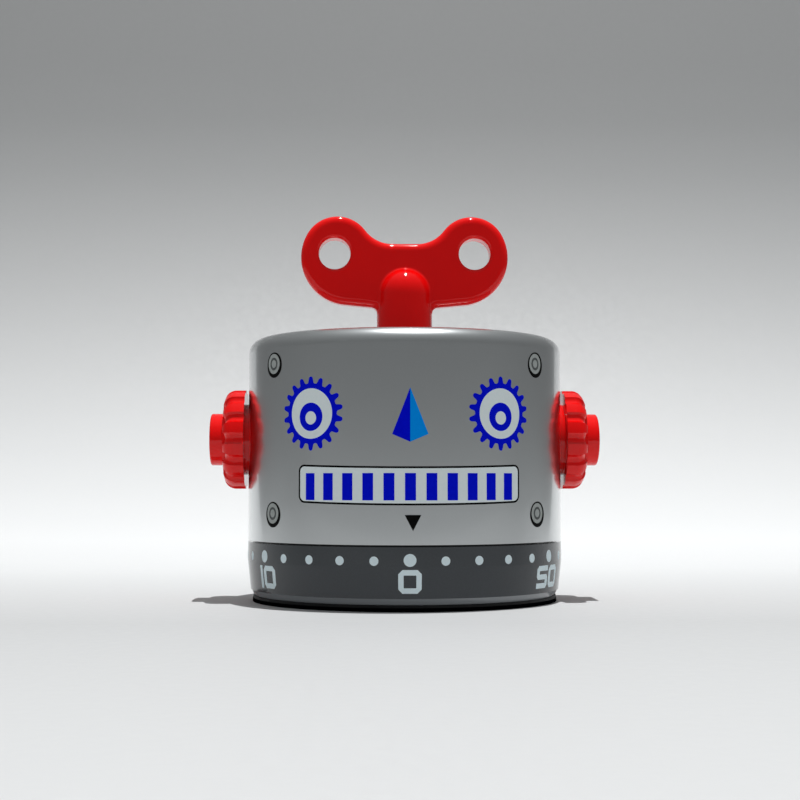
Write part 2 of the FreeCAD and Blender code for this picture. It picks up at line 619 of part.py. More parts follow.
def make_bell():
    turned("bell_post", [
        ("post_bore", HIGH_TOP), ("post_r + 1.2", HIGH_TOP), ("post_r + 1.2", f"{HIGH_TOP} + 0.8"),
        ("post_r", f"{HIGH_TOP} + 0.8"), ("post_r", "bell_top - bell_wall"),
        ("post_thread", "bell_top - bell_wall"),
        ("post_thread", "bell_top + 1.5"), ("post_bore", "bell_top + 1.5")])
    turned("bell", [
        ("bell_r - bell_wall", "bell_foot"), ("bell_r", "bell_foot"),
        ("bell_r", "bell_top - bell_round", "bell_round", 1), ("bell_r - bell_round", "bell_top"),
        ("post_thread + fit_gap", "bell_top"), ("post_thread + fit_gap", "bell_top - bell_wall"),
        ("bell_r - bell_round", "bell_top - bell_wall", "bell_round - bell_wall", -1),
        ("bell_r - bell_wall", "bell_top - bell_round")])
    nut = doc.addObject("Part::Prism", "bell_nut_blank")
    nut.Polygon = 6
    nut.setExpression("Circumradius", bind("post_r + 1.4"))
    nut.setExpression("Height", bind("nut_height"))
    place(nut, "0", "0", "bell_top")
    cut("bell_nut", nut, [rod("bell_nut_bore", "post_thread + fit_gap", "bell_top - overrun",
                                    "bell_top + nut_height + overrun")])


# ---------------------------------------------------------------- head

def make_head():
    inner = "case_r - head_wall"
    round_in = "head_round - head_wall"
    shell = turned("shell_blank", [
        (inner, "dial_top + seam"), ("case_r", "dial_top + seam"),
        ("case_r", "head_top - head_round", "head_round", 1), ("case_r - head_round", "head_top"),
        ("key_hole_r", "head_top"), ("key_hole_r", "head_top - head_wall"),
        ("case_r - head_round", "head_top - head_wall", round_in, -1), (inner, "head_top - head_round")])
    holes = [lying_rod(f"ear_hole_{side}", "ear_spigot_r + hole_play", f"{inner} - overrun",
                       "case_r + overrun", "ear_height", side) for side in (-1, 1)]
    cut("head_shell", shell, holes)
    ring("bearing_ring", "collar_r + bearing_play", f"{inner} - fit_gap", "dial_top + seam + 0.1",
         "collar_top + 0.6")
    hub = turned("hub_blank", [
        ("0", "hub_foot"), ("spigot_r + hub_wall", "hub_foot"), ("spigot_r + hub_wall",
                                                                 "head_top - head_wall - hub_thick"),
        ("hub_r", "head_top - head_wall - hub_thick"), ("hub_r", "head_top - head_wall - fit_gap"),
        ("0", "head_top - head_wall - fit_gap")])
    bore = rod("hub_round", "spigot_r + fit_gap", "hub_foot - overrun", "head_top")
    flat = bar("hub_flat", "spigot_r", "3 * spigot_r", "hub_foot - 2 * overrun", "head_top + overrun",
               ("0", "0"), 90,
               "spigot_flat + fit_gap")
    cut("head_hub", hub, [cut("hub_bore", bore, [flat])])


def key_blade_points():
    """The key blade's outline from the middle of its top, clockwise seen from the front.

    The hollow beside each lobe and the curve below it are tangent to the lobe, and a straight
    edge that slopes down towards the stem is tangent to the curve."""
    reach = "(lobe_r + valley_r)"
    valley_x = f"(lobe_x - sqrt({reach}^2 - (valley_z + valley_r - lobe_z)^2))"
    hollow = (f"lobe_x - lobe_r * (lobe_x - {valley_x}) / {reach}",
              f"lobe_z + lobe_r * (valley_z + valley_r - lobe_z) / {reach}")
    slack = "sqrt((lobe_x - belly_x)^2 + (belly_z - lobe_z)^2)"
    belly_r = f"(lobe_r + {slack})"
    flank = (f"lobe_x + lobe_r * (lobe_x - belly_x) / {slack}",
             f"lobe_z + lobe_r * (lobe_z - belly_z) / {slack}")
    lean = "belly_lean * 1deg"
    edge_x = f"(belly_x + {belly_r} * sin({lean}))"
    edge_z = f"(belly_z - {belly_r} * cos({lean}))"
    corner_x = f"(stem_r + stem_corner * (1 - sin({lean})))"
    corner_z = f"({edge_z} - ({edge_x} - {corner_x}) * tan({lean}))"
    right = [(valley_x, "valley_z", "valley_r", 1), hollow + ("lobe_r", -1), flank + (belly_r, -1),
             (edge_x, edge_z), (corner_x, corner_z, "stem_corner", 1),
             ("stem_r", f"{corner_z} - stem_corner * cos({lean})")]
    arcs = [point[2:] for point in right]
    left = []
    for index in range(len(right) - 1, -1, -1):
        x, z = right[index][:2]
        following = arcs[index - 1] if index > 0 else ()
        left.append((f"-({x})", z) + following)
    return right + left


def make_key():
    blade = doc.addObject("PartDesign::Body", "key_blade")
    sketch = outline(blade, "key_blade_outline", "XZ_Plane", key_blade_points())
    pad = blade.newObject("PartDesign::Pad", "key_blade_pad")
    pad.Profile = sketch
    pad.SideType = "Symmetric"
    pad.setExpression("Length", bind("key_thick"))
    blade.Tip = pad
    doc.recompute()
    half = value("key_thick / 2")
    floor = pad.Shape.BoundBox.ZMin
    tiny = 1e-3

    def on_face(edge):
        box = edge.BoundBox
        return box.YLength < tiny and abs(abs(box.YMax) - half) < tiny and box.ZMax > floor + tiny

    def beside_stem(edge):
        box = edge.BoundBox
        near = max(abs(box.XMin), abs(box.XMax)) < value("stem_r")
        return on_face(edge) and near and box.ZMax > floor + half

    rounded(blade, "key_blade_rounding", "key_round", on_face)
    turned("key_stem", [
        ("0", "spigot_end"), ("spigot_r", "spigot_end"), ("spigot_r", "clip_z - fit_gap"),
        ("spigot_r - clip_groove", "clip_z - fit_gap"),
        ("spigot_r - clip_groove", "clip_z + clip_thick + fit_gap"),
        ("spigot_r", "clip_z + clip_thick + fit_gap"), ("spigot_r", "stem_foot"), ("stem_r", "stem_foot"),
        ("stem_r", "dome_z", "stem_r", 1), ("0", "dome_z + stem_r")], blade)
    rounded(blade, "key_stem_rounding", "stem_blend", beside_stem)
    flat = bar("spigot_flat_cut", "spigot_r", "3 * spigot_r", "spigot_end - overrun", "stem_foot",
               ("0", "0"), 90, "spigot_flat")
    tools = [flat]
    for side in (-1, 1):
        eye = turned(f"key_eye_{side}", [
            ("0", "-key_thick"), ("eye_r + eye_round + overrun", "-key_thick"),
            ("eye_r + eye_round + overrun", "-key_thick / 2"),
            ("eye_r + eye_round", "-key_thick / 2", "eye_round", -1),
            ("eye_r", "eye_round - key_thick / 2"), ("eye_r", "key_thick / 2 - eye_round", "eye_round", -1),
            ("eye_r + eye_round", "key_thick / 2"), ("eye_r + eye_round + overrun", "key_thick / 2"),
            ("eye_r + eye_round + overrun", "key_thick"), ("0", "key_thick")])
        eye.Placement = FreeCAD.Placement(Vec(), FreeCAD.Rotation(Vec(1, 0, 0), 90))
        tools.append(place(eye, f"{side} * eye_x", "0", "eye_z"))
    bore = rod("key_bore", "main_r + fit_gap", "spigot_end - 1", "50")
    bore_flat = bar("key_bore_flat", "3", "6", "spigot_end - 2", "51", ("0", "0"), 90, "main_r - 0.45")
    tools.append(cut("key_bore_shape", bore, [bore_flat]))
    cut("wind_key", blade, tools)
    clip = cut("clip_disc", rod("clip_round", "spigot_r + 1.6", "clip_z", "clip_z + clip_thick"),
               [rod("clip_hole", "spigot_r - 0.5", "clip_z - 1", "clip_z + 2")])
    mouth = bar("clip_mouth", "8", "5.4", "clip_z - 1", "clip_z + 2", ("0", "0"), 270)
    cut("key_clip", clip, [mouth])


def make_ear(word, side):
    """One ear, its washer and its screw; the ear is turned about the X axis of its side."""
    front = "ear_back + ear_rim + ear_round"
    profile = turned(f"{word}_ear_blank", [
        ("pilot_r", "ear_spigot_end"), ("ear_spigot_r",
                                        "ear_spigot_end"), ("ear_spigot_r", "case_r - boss_sunk"),
        ("ear_boss_r", "case_r - boss_sunk"), ("ear_boss_r", "ear_back"), ("ear_r", "ear_back"),
        ("ear_r", "ear_back + ear_rim", "ear_round", 1), ("ear_r - ear_round", front), ("ear_nub_r", front),
        ("ear_nub_r", "ear_end - nub_round", "nub_round", 1), ("ear_nub_r - nub_round", "ear_end"),
        ("0", "ear_end"), ("0", "ear_end - ear_skin"), ("pilot_r", "ear_end - ear_skin")])
    profile.Placement = FreeCAD.Placement(Vec(), FreeCAD.Rotation(Vec(0, 1, 0), 90 * side))
    place(profile, "0", "0", "ear_height")
    tools = []
    for number in range(round(value("ear_flutes"))):
        turn = 360.0 * number / round(value("ear_flutes")) + 90
        spin = FreeCAD.Rotation(Vec(1, 0, 0), turn)
        bend = doc.addObject("Part::Torus", f"{word}_flute_{number}")
        bend.setExpression("Radius1", bind("ear_round + flute_out"))
        bend.setExpression("Radius2", bind("flute_r"))
        bend.Angle3 = 96
        start = -6 if side > 0 else 90
        upright = FreeCAD.Rotation(Vec(1, 0, 0), 90) * FreeCAD.Rotation(Vec(0, 0, 1), start)
        bend.Placement = FreeCAD.Placement(Vec(), spin * upright)
        rise = f"(ear_r - ear_round) * cos({turn} * 1deg)"
        aside = f"-(ear_r - ear_round) * sin({turn} * 1deg)"
        place(bend, f"{side} * (ear_back + ear_rim)", aside, f"ear_height + {rise}")
        line = lying_rod(f"{word}_flute_line_{number}", "flute_r", "ear_back - overrun",
                         "ear_back + ear_rim", "0", side)
        place(line, f"{side} * (ear_back - overrun)", f"-(ear_r + flute_out) * sin({turn} * 1deg)",
              f"ear_height + (ear_r + flute_out) * cos({turn} * 1deg)")
        tools += [bend, line]
    seat = rod(f"{word}_seat", "case_r", "ear_height - ear_r", "ear_height + ear_r")
    spigot = lying_rod(f"{word}_seat_spigot", "ear_spigot_r", "0", "case_r", "ear_height", side)
    tools.append(cut(f"{word}_seat_cut", seat, [spigot]))
    cut(f"{word}_ear", profile, tools)
    washer_back = "ear_spigot_end - fit_gap - washer_thick"
    washer = lying_rod(f"{word}_washer_disc", "washer_r", washer_back, "ear_spigot_end - fit_gap",
                       "ear_height", side)
    hole = lying_rod(f"{word}_washer_hole", "pilot_r", "ear_spigot_end - 2 * overrun",
                     "ear_spigot_end + overrun",
                     "ear_height", side)
    cut(f"{word}_ear_washer", washer, [hole])
    screw = joined(f"{word}_ear_screw_blank", [
        lying_rod(f"{word}_screw_head", "ear_screw_head_r", f"{washer_back} - ear_screw_head", washer_back,
                  "ear_height", side),
        lying_rod(f"{word}_screw_shaft", "ear_screw_r", washer_back, "ear_end - ear_skin - screw_short",
                  "ear_height", side)])
    slot = doc.addObject("Part::Box", f"{word}_screw_slot")
    slot.setExpression("Length", bind("overrun"))
    slot.setExpression("Width", bind("3 * ear_screw_head_r"))
    slot.setExpression("Height", bind("slot_width"))
    place(slot, f"{side} * ({washer_back} - ear_screw_head) - overrun / 2", "-1.5 * ear_screw_head_r",
          "ear_height - slot_width / 2")
    cut(f"{word}_ear_screw", screw, [slot])


def make_main_arbor():
    shaft = turned("arbor_shaft", [
        ("0", "low_plate_z - 1"), ("main_pivot_r", "low_plate_z - 1"),
        ("main_pivot_r", f"{LOW_TOP} + shake"), ("main_r", f"{LOW_TOP} + shake"), ("main_r", "main_top"),
        ("0", "main_top")])
    flat = bar("arbor_flat", "3", "6", "spigot_end - 2.5", "51", ("0", "0"), 90, "main_r - 0.5")
    cut("main_arbor", shaft, [flat])
    saw_wheel("ratchet_wheel", "ratchet_teeth", "ratchet_r", 0.8, 0.9, "wheel_thick", "ratchet_z",
              ("0", "0"), "main_r + fit_gap", 0)
    cam = joined("cam_blank", [
        rod("cam_disc_round", "cam_r", "cam_z", "cam_z + cam_thick"),
        rod("stop_pin", "stop_r", "cam_z + cam_thick", "cam_z + cam_thick + stop_height",
            polar("stop_ring", 81))])
    notch = rod("cam_notch", "1.2", "cam_z - overrun", "cam_z + 2 * overrun", polar("cam_r", "hammer_turn"))
    cut("cam_disc", cam, [rod("cam_bore", "main_r + fit_gap", "cam_z - overrun", "cam_z + 2 * overrun"),
                          notch])


# ---------------------------------------------------------------- going train

def make_train():
    great_blank = gear("great_blank", "great_teeth", "main_module", "0.8", "great_z", ("0", "0"), 0.0,
                       "main_r + pivot_play", 5)
    post = rod("click_post", "click_post_r", "ratchet_z", "great_z", polar("click_ring", 0))
    joined("great_wheel", [great_blank, post])
    pawl = joined("click_blank", [
        rod("click_eye", "2 * click_post_r", "ratchet_z", "great_z - 0.1", polar("click_ring", 0)),
        bar("click_arm", "3.3", "1.1", "ratchet_z", "great_z - 0.1", polar("click_ring", 0), 130)])
    cut("click", pawl, [rod("click_bore", "click_post_r + fit_gap", "ratchet_z - overrun",
                            "great_z + overrun", polar("click_ring", 0))])
    bar("click_spring", "4.6", "0.2", "ratchet_z + 0.15", "great_z", polar("11.6", 0), 100)

    second_phase = direction(SECOND, THIRD)
    gear("second_wheel", "second_teeth", "second_module", "wheel_thick", "second_z", SECOND, second_phase,
         "arbor_r + fixed_gap", 5)
    leaf_phase = mesh_phase(0.0, "great_teeth", "leaves", value("second_turn"))
    leaf = gear("second_leaf", "leaves", "main_module", "1.8", "great_z - leaf_under", SECOND, leaf_phase,
                fullness=0.36)
    arbor("second_arbor", SECOND, [leaf])

    third_phase = direction(THIRD, ESCAPE)
    gear("third_wheel", "third_teeth", "third_module", "wheel_thick", "third_z", THIRD, third_phase,
         "arbor_r + fixed_gap", 5)
    leaf_phase = mesh_phase(second_phase, "second_teeth", "leaves", second_phase)
    leaf = gear("third_leaf", "leaves", "second_module", "1.4", "second_z - leaf_under", THIRD, leaf_phase,
                fullness=0.36)
    arbor("third_arbor", THIRD, [leaf])

    saw_wheel("escape_wheel", "escape_teeth", "escape_r", 1.2, 0.7, "tooth_plate", "escape_z", ESCAPE,
              "arbor_r + fixed_gap", 5)
    leaf_phase = mesh_phase(third_phase, "third_teeth", "leaves", third_phase)
    leaf = gear("escape_leaf", "leaves", "third_module", "1.4", "third_z - leaf_under", ESCAPE, leaf_phase,
                fullness=0.36)
    arbor("escape_arbor", ESCAPE, [leaf])


def make_escapement():
    facing = direction(ESCAPE, PALLET)
    fork_turn = direction(PALLET, BALANCE)
    lever_top = "lever_z + lever_thick"
    pieces = [rod("lever_hub", "1.3", "lever_z", lever_top, PALLET),
              bar("lever_stem", "9.1", "1.8", "lever_z", lever_top, PALLET, fork_turn)]
    for sign in (-1, 1):
        pin = polar("pallet_pin_ring", facing + sign * value("pallet_pin_turn"), ESCAPE)
        pieces.append(bar(f"lever_arm_{sign}", distance(PALLET, pin), "0.9", "lever_z", lever_top, PALLET,
                          direction(PALLET, pin)))
        pieces.append(rod(f"lever_tip_{sign}", "0.45", "lever_z", lever_top, pin))
        pieces.append(rod(f"pallet_pin_{sign}", "pallet_pin_r", "lever_z", "escape_z + tooth_plate", pin))
    slot = bar("fork_slot", "3", "0.84", "lever_z - overrun", "lever_z + 2 * overrun", PALLET, fork_turn,
               "7.6")
    bore = rod("lever_bore", "arbor_r + fixed_gap", "lever_z - overrun", "lever_z + 2 * overrun", PALLET)
    cut("pallet_lever", joined("lever_blank", pieces), [slot, bore])
    arbor("pallet_arbor", PALLET, [])

    rim = cut("balance_rim", rod("balance_disc", "balance_r", "balance_z", "balance_z + balance_thick",
                                 BALANCE),
              [rod("balance_inside", "balance_r - balance_rim", "balance_z - overrun",
                   "balance_z + 2 * overrun", BALANCE)])
    spokes = [rod("balance_hub", "2.2", "balance_z", "balance_z + balance_thick", BALANCE)]
    for number in range(2):
        turn = fork_turn + 90 * number
        spokes.append(bar(f"balance_spoke_{number}", "2 * balance_r - 1.2", "1", "balance_z",
                          "balance_z + balance_thick", polar("0.6 - balance_r", turn, BALANCE), turn))
    wheel = joined("balance_blank", [rim] + spokes)
    cut("balance_wheel", wheel, [rod("balance_bore", "arbor_r + fixed_gap", "balance_z - overrun",
                                     "balance_z + 2 * overrun",
                                     BALANCE)])
    pin_spot = polar("roller_ring", fork_turn + 180, BALANCE)
    arbor("balance_staff", BALANCE, [
        rod("roller", "2.1", "balance_z + balance_thick", "balance_z + balance_thick + 0.15", BALANCE),
        rod("roller_pin", "0.3", "balance_z + balance_thick", "lever_z + lever_thick + 0.1", pin_spot)])


# ---------------------------------------------------------------- alarm

def make_alarm():
    leaf_phase = mesh_phase(0.0, "great_teeth", "alarm_leaves", value("alarm_turn"))
    leaf = gear("alarm_leaf", "alarm_leaves", "main_module", "1.8", "great_z - leaf_under", ALARM,
                leaf_phase,
                fullness=0.36)
    arbor("alarm_arbor", ALARM, [leaf], top="bell_level + tooth_plate")
    saw_wheel("star_wheel", "8", "star_r", 1.4, 0.5, "tooth_plate", "bell_level", ALARM,
              "arbor_r + fixed_gap", 0)

    towards_head = direction(HAMMER, HAMMER_HEAD)
    towards_star = direction(HAMMER, ALARM)
    level_top = "bell_level + tooth_plate"
    arm = joined("hammer_arm_blank", [
        rod("hammer_hub", "1.5", "bell_level", level_top, HAMMER),
        bar("hammer_bar", distance(HAMMER, HAMMER_HEAD), "1.2", "bell_level", level_top, HAMMER,
            towards_head),
        bar("hammer_lifter", distance(HAMMER, ALARM) - value("star_r") - 0.35, "0.9", "bell_level",
            level_top, HAMMER, towards_star)])
    cut("hammer_arm", arm, [rod("hammer_arm_bore", "arbor_r + fixed_gap", "bell_level - overrun",
                                "bell_level + 2 * overrun",
                                HAMMER),
                            rod("hammer_head_bore", "hammer_r + fixed_gap", "bell_level - overrun",
                                "bell_level + 2 * overrun",
                                HAMMER_HEAD)])
    rod("hammer_head", "hammer_r", "bell_level", "bell_level + 4.6", HAMMER_HEAD)
    tail = bar("hammer_tail", "hammer_ring - cam_r - 0.25", "0.8", "cam_z", "cam_z + cam_thick", HAMMER,
               value("hammer_turn") + 180)
    arbor("hammer_arbor", HAMMER, [tail], top=level_top)


make_base()
make_frame_plates()
make_springs()
make_bell()
make_head()
make_key()
make_ear("left", -1)
make_ear("right", 1)
make_main_arbor()
make_train()
make_escapement()
make_alarm()
doc.recompute()

NODES = ["foot_ring", "bottom_cover", "dial_base", "bottom_plate", "top_plate", "mainspring", "hairspring",
         "bell_post", "bell", "bell_nut", "head_shell", "bearing_ring", "head_hub", "wind_key", "key_clip",
         "left_ear", "right_ear", "left_ear_washer", "right_ear_washer", "left_ear_screw", "right_ear_screw",
         "main_arbor", "ratchet_wheel", "cam_disc", "great_wheel", "click", "click_spring",
         "second_wheel", "second_arbor", "third_wheel", "third_arbor", "escape_wheel", "escape_arbor",
         "pallet_lever", "pallet_arbor", "balance_wheel", "balance_staff", "alarm_arbor", "star_wheel",
         "hammer_arm", "hammer_head", "hammer_arbor"]
NODES += [f"{kind}_{number}" for kind in ("cover_screw", "movement_screw") for number in (1, 2, 3)]
NODES += [f"{kind}_{number}" for kind in ("pillar", "pillar_nut") for number in (1, 2, 3, 4)]

for item in doc.Objects:
    if "Invalid" in item.State or "Error" in item.State:
        raise RuntimeError(f"{item.Label}: {item.State}")
os.makedirs("parts", exist_ok=True)
for node in NODES:
    shape = doc.getObject(node).Shape
    if shape.isNull() or not shape.isValid() or len(shape.Solids) != 1:
        raise RuntimeError(f"{node}: {len(shape.Solids)} solids, valid {shape.isValid()}")
    shape.exportStep(f"parts/{node}.step")
print(f"{len(NODES)} parts written")
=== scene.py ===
import json
import math

import bmesh
import bpy
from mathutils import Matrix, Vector


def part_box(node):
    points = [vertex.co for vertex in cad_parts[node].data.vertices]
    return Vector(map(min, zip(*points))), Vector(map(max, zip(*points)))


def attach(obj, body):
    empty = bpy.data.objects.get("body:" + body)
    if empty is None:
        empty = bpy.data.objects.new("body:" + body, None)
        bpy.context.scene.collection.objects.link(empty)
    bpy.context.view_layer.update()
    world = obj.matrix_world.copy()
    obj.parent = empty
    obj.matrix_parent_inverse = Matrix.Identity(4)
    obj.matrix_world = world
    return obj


# Looks of the robot-head kitchen timer.  Lengths are metres; MM turns millimetres into metres.
# The base narrows by TAPER_IN from the height TAPER_TOP down to BEVEL_TOP, where its lower bevel starts,
# all in millimetres.
# Angles round the head are degrees from the middle of the face (-Y), growing towards +X.

MM = 0.001
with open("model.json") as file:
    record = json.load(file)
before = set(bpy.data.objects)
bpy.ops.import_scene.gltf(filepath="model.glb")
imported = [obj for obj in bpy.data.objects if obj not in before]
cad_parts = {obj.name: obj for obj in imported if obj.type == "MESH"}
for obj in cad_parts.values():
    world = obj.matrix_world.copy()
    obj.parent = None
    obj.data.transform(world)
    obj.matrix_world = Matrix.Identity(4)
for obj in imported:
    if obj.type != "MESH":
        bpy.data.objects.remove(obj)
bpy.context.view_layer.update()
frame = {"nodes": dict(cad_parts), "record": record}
nodes = frame["nodes"]

shell_low, shell_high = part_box("head_shell")
CASE_R = (shell_high[1] - shell_low[1]) / 2
TAPER_TOP = 8.0
BEVEL_TOP = 2.4
TAPER_IN = 0.6


# ---------------------------------------------------------------- materials

# Nearly all of a noise texture's values lie between these two.
NOISE_LOW = 0.3
NOISE_HIGH = 0.7


class Surface:
    """A Principled material and the few node chains that the materials here share."""

    def __init__(self, name, **inputs):
        self.material = bpy.data.materials.new(name)
        self.material.use_nodes = True
        self.nodes = self.material.node_tree.nodes
        self.links = self.material.node_tree.links
        self.shader = self.nodes["Principled BSDF"]
        for socket, amount in inputs.items():
            self.shader.inputs[socket.replace("_", " ")].default_value = amount

    def noise(self, scale, detail, stretch=(1, 1, 1)):
        place = self.nodes.new("ShaderNodeTexCoord")
        mapping = self.nodes.new("ShaderNodeMapping")
        mapping.inputs["Scale"].default_value = stretch
        texture = self.nodes.new("ShaderNodeTexNoise")
        texture.inputs["Scale"].default_value = scale
        texture.inputs["Detail"].default_value = detail
        self.links.new(place.outputs["Object"], mapping.inputs["Vector"])
        self.links.new(mapping.outputs["Vector"], texture.inputs["Vector"])
        return texture.outputs["Fac"]

    def ramp(self, factor, stops):
        node = self.nodes.new("ShaderNodeValToRGB")
        band = node.color_ramp
        while len(band.elements) < len(stops):
            band.elements.new(0.5)
        for element, (spot, colour) in zip(band.elements, stops):
            element.position = spot
            element.color = (*colour, 1)
        self.links.new(factor, node.inputs["Fac"])
        return node.outputs["Color"]

    def mottled(self, factor, dark, light):
        """A colour that wanders between two tones with a noise."""
        return self.ramp(factor, [(NOISE_LOW, dark), (NOISE_HIGH, light)])

    def colour(self, factor, dark, light):
        self.links.new(self.mottled(factor, dark, light), self.shader.inputs["Base Color"])

    def painted_light_along_sweep(self, stops):
        """Grade a neutral colour along the sweep by the sum of its points' Y and Z; the grades are painted
        light and shade, not the paper's own colour.
        """
        place = self.nodes.new("ShaderNodeTexCoord")
        split = self.nodes.new("ShaderNodeSeparateXYZ")
        total = self.nodes.new("ShaderNodeMath")
        self.links.new(place.outputs["Object"], split.inputs["Vector"])
        self.links.new(split.outputs["Y"], total.inputs[0])
        self.links.new(split.outputs["Z"], total.inputs[1])
        low, high = stops[0][0], stops[-1][0]
        span = self.nodes.new("ShaderNodeMapRange")
        span.inputs["From Min"].default_value = low
        span.inputs["From Max"].default_value = high
        self.links.new(total.outputs["Value"], span.inputs["Value"])
        red, blue = 0.985, 1.005
        tones = [((spot - low) / (high - low), (red * grey, grey, blue * grey)) for spot, grey in stops]
        self.links.new(self.ramp(span.outputs["Result"], tones), self.shader.inputs["Base Color"])

    def painted_reflection_below(self, level, colour, pale):
        """Use one colour above a height and a constant paler one below it, a painted reflection of the
        bright floor.
        """
        place = self.nodes.new("ShaderNodeTexCoord")
        split = self.nodes.new("ShaderNodeSeparateXYZ")
        above = self.nodes.new("ShaderNodeMath")
        above.operation = "GREATER_THAN"
        above.inputs[1].default_value = level
        mix = self.nodes.new("ShaderNodeMixRGB")
        mix.inputs["Color1"].default_value = (*pale, 1)
        self.links.new(place.outputs["Object"], split.inputs["Vector"])
        self.links.new(split.outputs["Z"], above.inputs[0])
        self.links.new(above.outputs["Value"], mix.inputs["Fac"])
        self.links.new(colour, mix.inputs["Color2"])
        self.links.new(mix.outputs["Color"], self.shader.inputs["Base Color"])

    def roughness(self, factor, smooth, rough):
        node = self.nodes.new("ShaderNodeMapRange")
        node.inputs["From Min"].default_value = NOISE_LOW
        node.inputs["From Max"].default_value = NOISE_HIGH
        node.inputs["To Min"].default_value = smooth
        node.inputs["To Max"].default_value = rough
        self.links.new(factor, node.inputs["Value"])
        self.links.new(node.outputs["Result"], self.shader.inputs["Roughness"])

    def bump(self, factor, strength, depth):
        node = self.nodes.new("ShaderNodeBump")
        node.inputs["Strength"].default_value = strength
        node.inputs["Distance"].default_value = depth
        self.links.new(factor, node.inputs["Height"])
        self.links.new(node.outputs["Normal"], self.shader.inputs["Normal"])


def silver_paint():
    """Metallic silver: a very fine flake under a clear gloss coat."""
    paint = Surface("silver_paint", Metallic=1.0, Roughness=0.275, Coat_Weight=1.0, Coat_Roughness=0.04)
    paint.colour(paint.noise(3000, 2), (0.595, 0.62, 0.627), (0.605, 0.63, 0.637))
    return paint.material


def dial_plastic():
    """Dark grey moulding; the paler band below the bevel's edge is a painted reflection of the bright floor,
    not the moulding's colour.
    """
    plastic = Surface("dial_plastic")
    grey = plastic.mottled(plastic.noise(4200, 2), (0.03, 0.036, 0.042), (0.034, 0.041, 0.048))
    # Painted reflection: below BEVEL_TOP the bevel gets a pale grey that stands in for the bright floor it
    # mirrors.
    plastic.painted_reflection_below(BEVEL_TOP * MM, grey, (0.25, 0.265, 0.28))
    plastic.roughness(plastic.noise(120, 4), 0.09, 0.13)
    plastic.bump(plastic.noise(2500, 3), 0.03, 0.00003)
    return plastic.material


def red_plastic():
    plastic = Surface("red_plastic", Specular_IOR_Level=0.35)
    plastic.colour(plastic.noise(90, 3), (0.88, 0.0004, 0.0006), (0.94, 0.0006, 0.0009))
    plastic.roughness(plastic.noise(200, 4), 0.04, 0.07)
    plastic.bump(plastic.noise(260, 2), 0.02, 0.0001)
    return plastic.material


def black_rubber():
    rubber = Surface("black_rubber", Specular_IOR_Level=0.0)
    rubber.colour(rubber.noise(900, 4), (0.0006, 0.0006, 0.0012), (0.002, 0.002, 0.003))
    rubber.roughness(rubber.noise(700, 4), 0.6, 0.85)
    rubber.bump(rubber.noise(2600, 4), 0.4, 0.00008)
    return rubber.material


def moulded_black(name, smooth, rough):
    plastic = Surface(name, Specular_IOR_Level=0.2)
    plastic.colour(plastic.noise(300, 3), (0.003, 0.003, 0.004), (0.008, 0.008, 0.009))
    plastic.roughness(plastic.noise(800, 4), smooth, rough)
    plastic.bump(plastic.noise(3200, 3), 0.25, 0.00006)
    return plastic.material


def brushed(name, dark, light, smooth, rough):
    """Metal with a grain that is drawn out across Z."""
    stretch = (1, 1, 14)
    metal = Surface(name, Metallic=1.0)
    metal.colour(metal.noise(300, 5, stretch), dark, light)
    metal.roughness(metal.noise(900, 5, stretch), smooth, rough)
    metal.bump(metal.noise(1800, 4, stretch), 0.15, 0.00003)
    return metal.material


def ink(name, dark, light):
    """Screen-printed ink: nearly flat, with a faint unevenness."""
    film = Surface(name, Specular_IOR_Level=0.03)
    film.colour(film.noise(1600, 3), dark, light)
    film.roughness(film.noise(900, 3), 0.35, 0.47)
    film.bump(film.noise(3000, 3), 0.08, 0.00002)
    return film.material


MATERIALS = {
    "head_silver": silver_paint(),
    "dial_grey": dial_plastic(),
    "red_gloss": red_plastic(),
    "foot_black": black_rubber(),
    "cover_black": moulded_black("cover_plastic", 0.45, 0.6),
    "black_plastic": moulded_black("hub_plastic", 0.35, 0.5),
    "steel": brushed("plate_steel", (0.46, 0.46, 0.47), (0.62, 0.62, 0.63), 0.28, 0.42),
    "bright_steel": brushed("bell_steel", (0.66, 0.66, 0.67), (0.75, 0.75, 0.76), 0.12, 0.22),
    "spring_steel": brushed("spring_steel_blue", (0.1, 0.13, 0.2), (0.2, 0.23, 0.3), 0.25, 0.4),
    "brass": brushed("wheel_brass", (0.66, 0.47, 0.17), (0.78, 0.6, 0.27), 0.25, 0.4),
}
INKS = {
    "blue": ink("ink_blue", (0.0, 0.005, 0.72), (0.0, 0.007, 0.78)),
    "sky": ink("ink_sky", (0.0, 0.3, 0.96), (0.0, 0.32, 0.99)),
    "navy": ink("ink_navy", (0.0, 0.003, 0.72), (0.0, 0.005, 0.78)),
    "pale": ink("ink_pale", (0.86, 0.96, 0.98), (0.9, 0.98, 1.0)),
    "white": ink("ink_white", (0.8, 0.94, 1.0), (0.84, 0.97, 1.0)),
    "black": ink("ink_black", (0.003, 0.003, 0.003), (0.006, 0.006, 0.006)),
    "grey": ink("ink_grey", (0.1, 0.11, 0.11), (0.13, 0.14, 0.14)),
    "silver": ink("ink_silver", (0.4, 0.43, 0.42), (0.46, 0.49, 0.48)),
}


def dress_frame():
    """Give every CAD node the material of its slot."""
    for part in frame["record"]["subparts"]:
        mesh = nodes[part["node"]].data
        mesh.materials.clear()
        mesh.materials.append(MATERIALS[part["material_slot"]])


# ---------------------------------------------------------------- printing

# In millimetres: the width of the flat strips that follow the round case, the longest straight edge of
# an outline, how far the first layer of ink stands proud, and how much further each later one does.
STRIP = 0.4
EDGE = 1.0
FILM = 0.02
FILM_STEP = 0.01


def circle(radius, centre=(0, 0), steps=64):
    turns = [2 * math.pi * step / steps for step in range(steps)]
    return [(centre[0] + radius * math.cos(turn), centre[1] + radius * math.sin(turn)) for turn in turns]


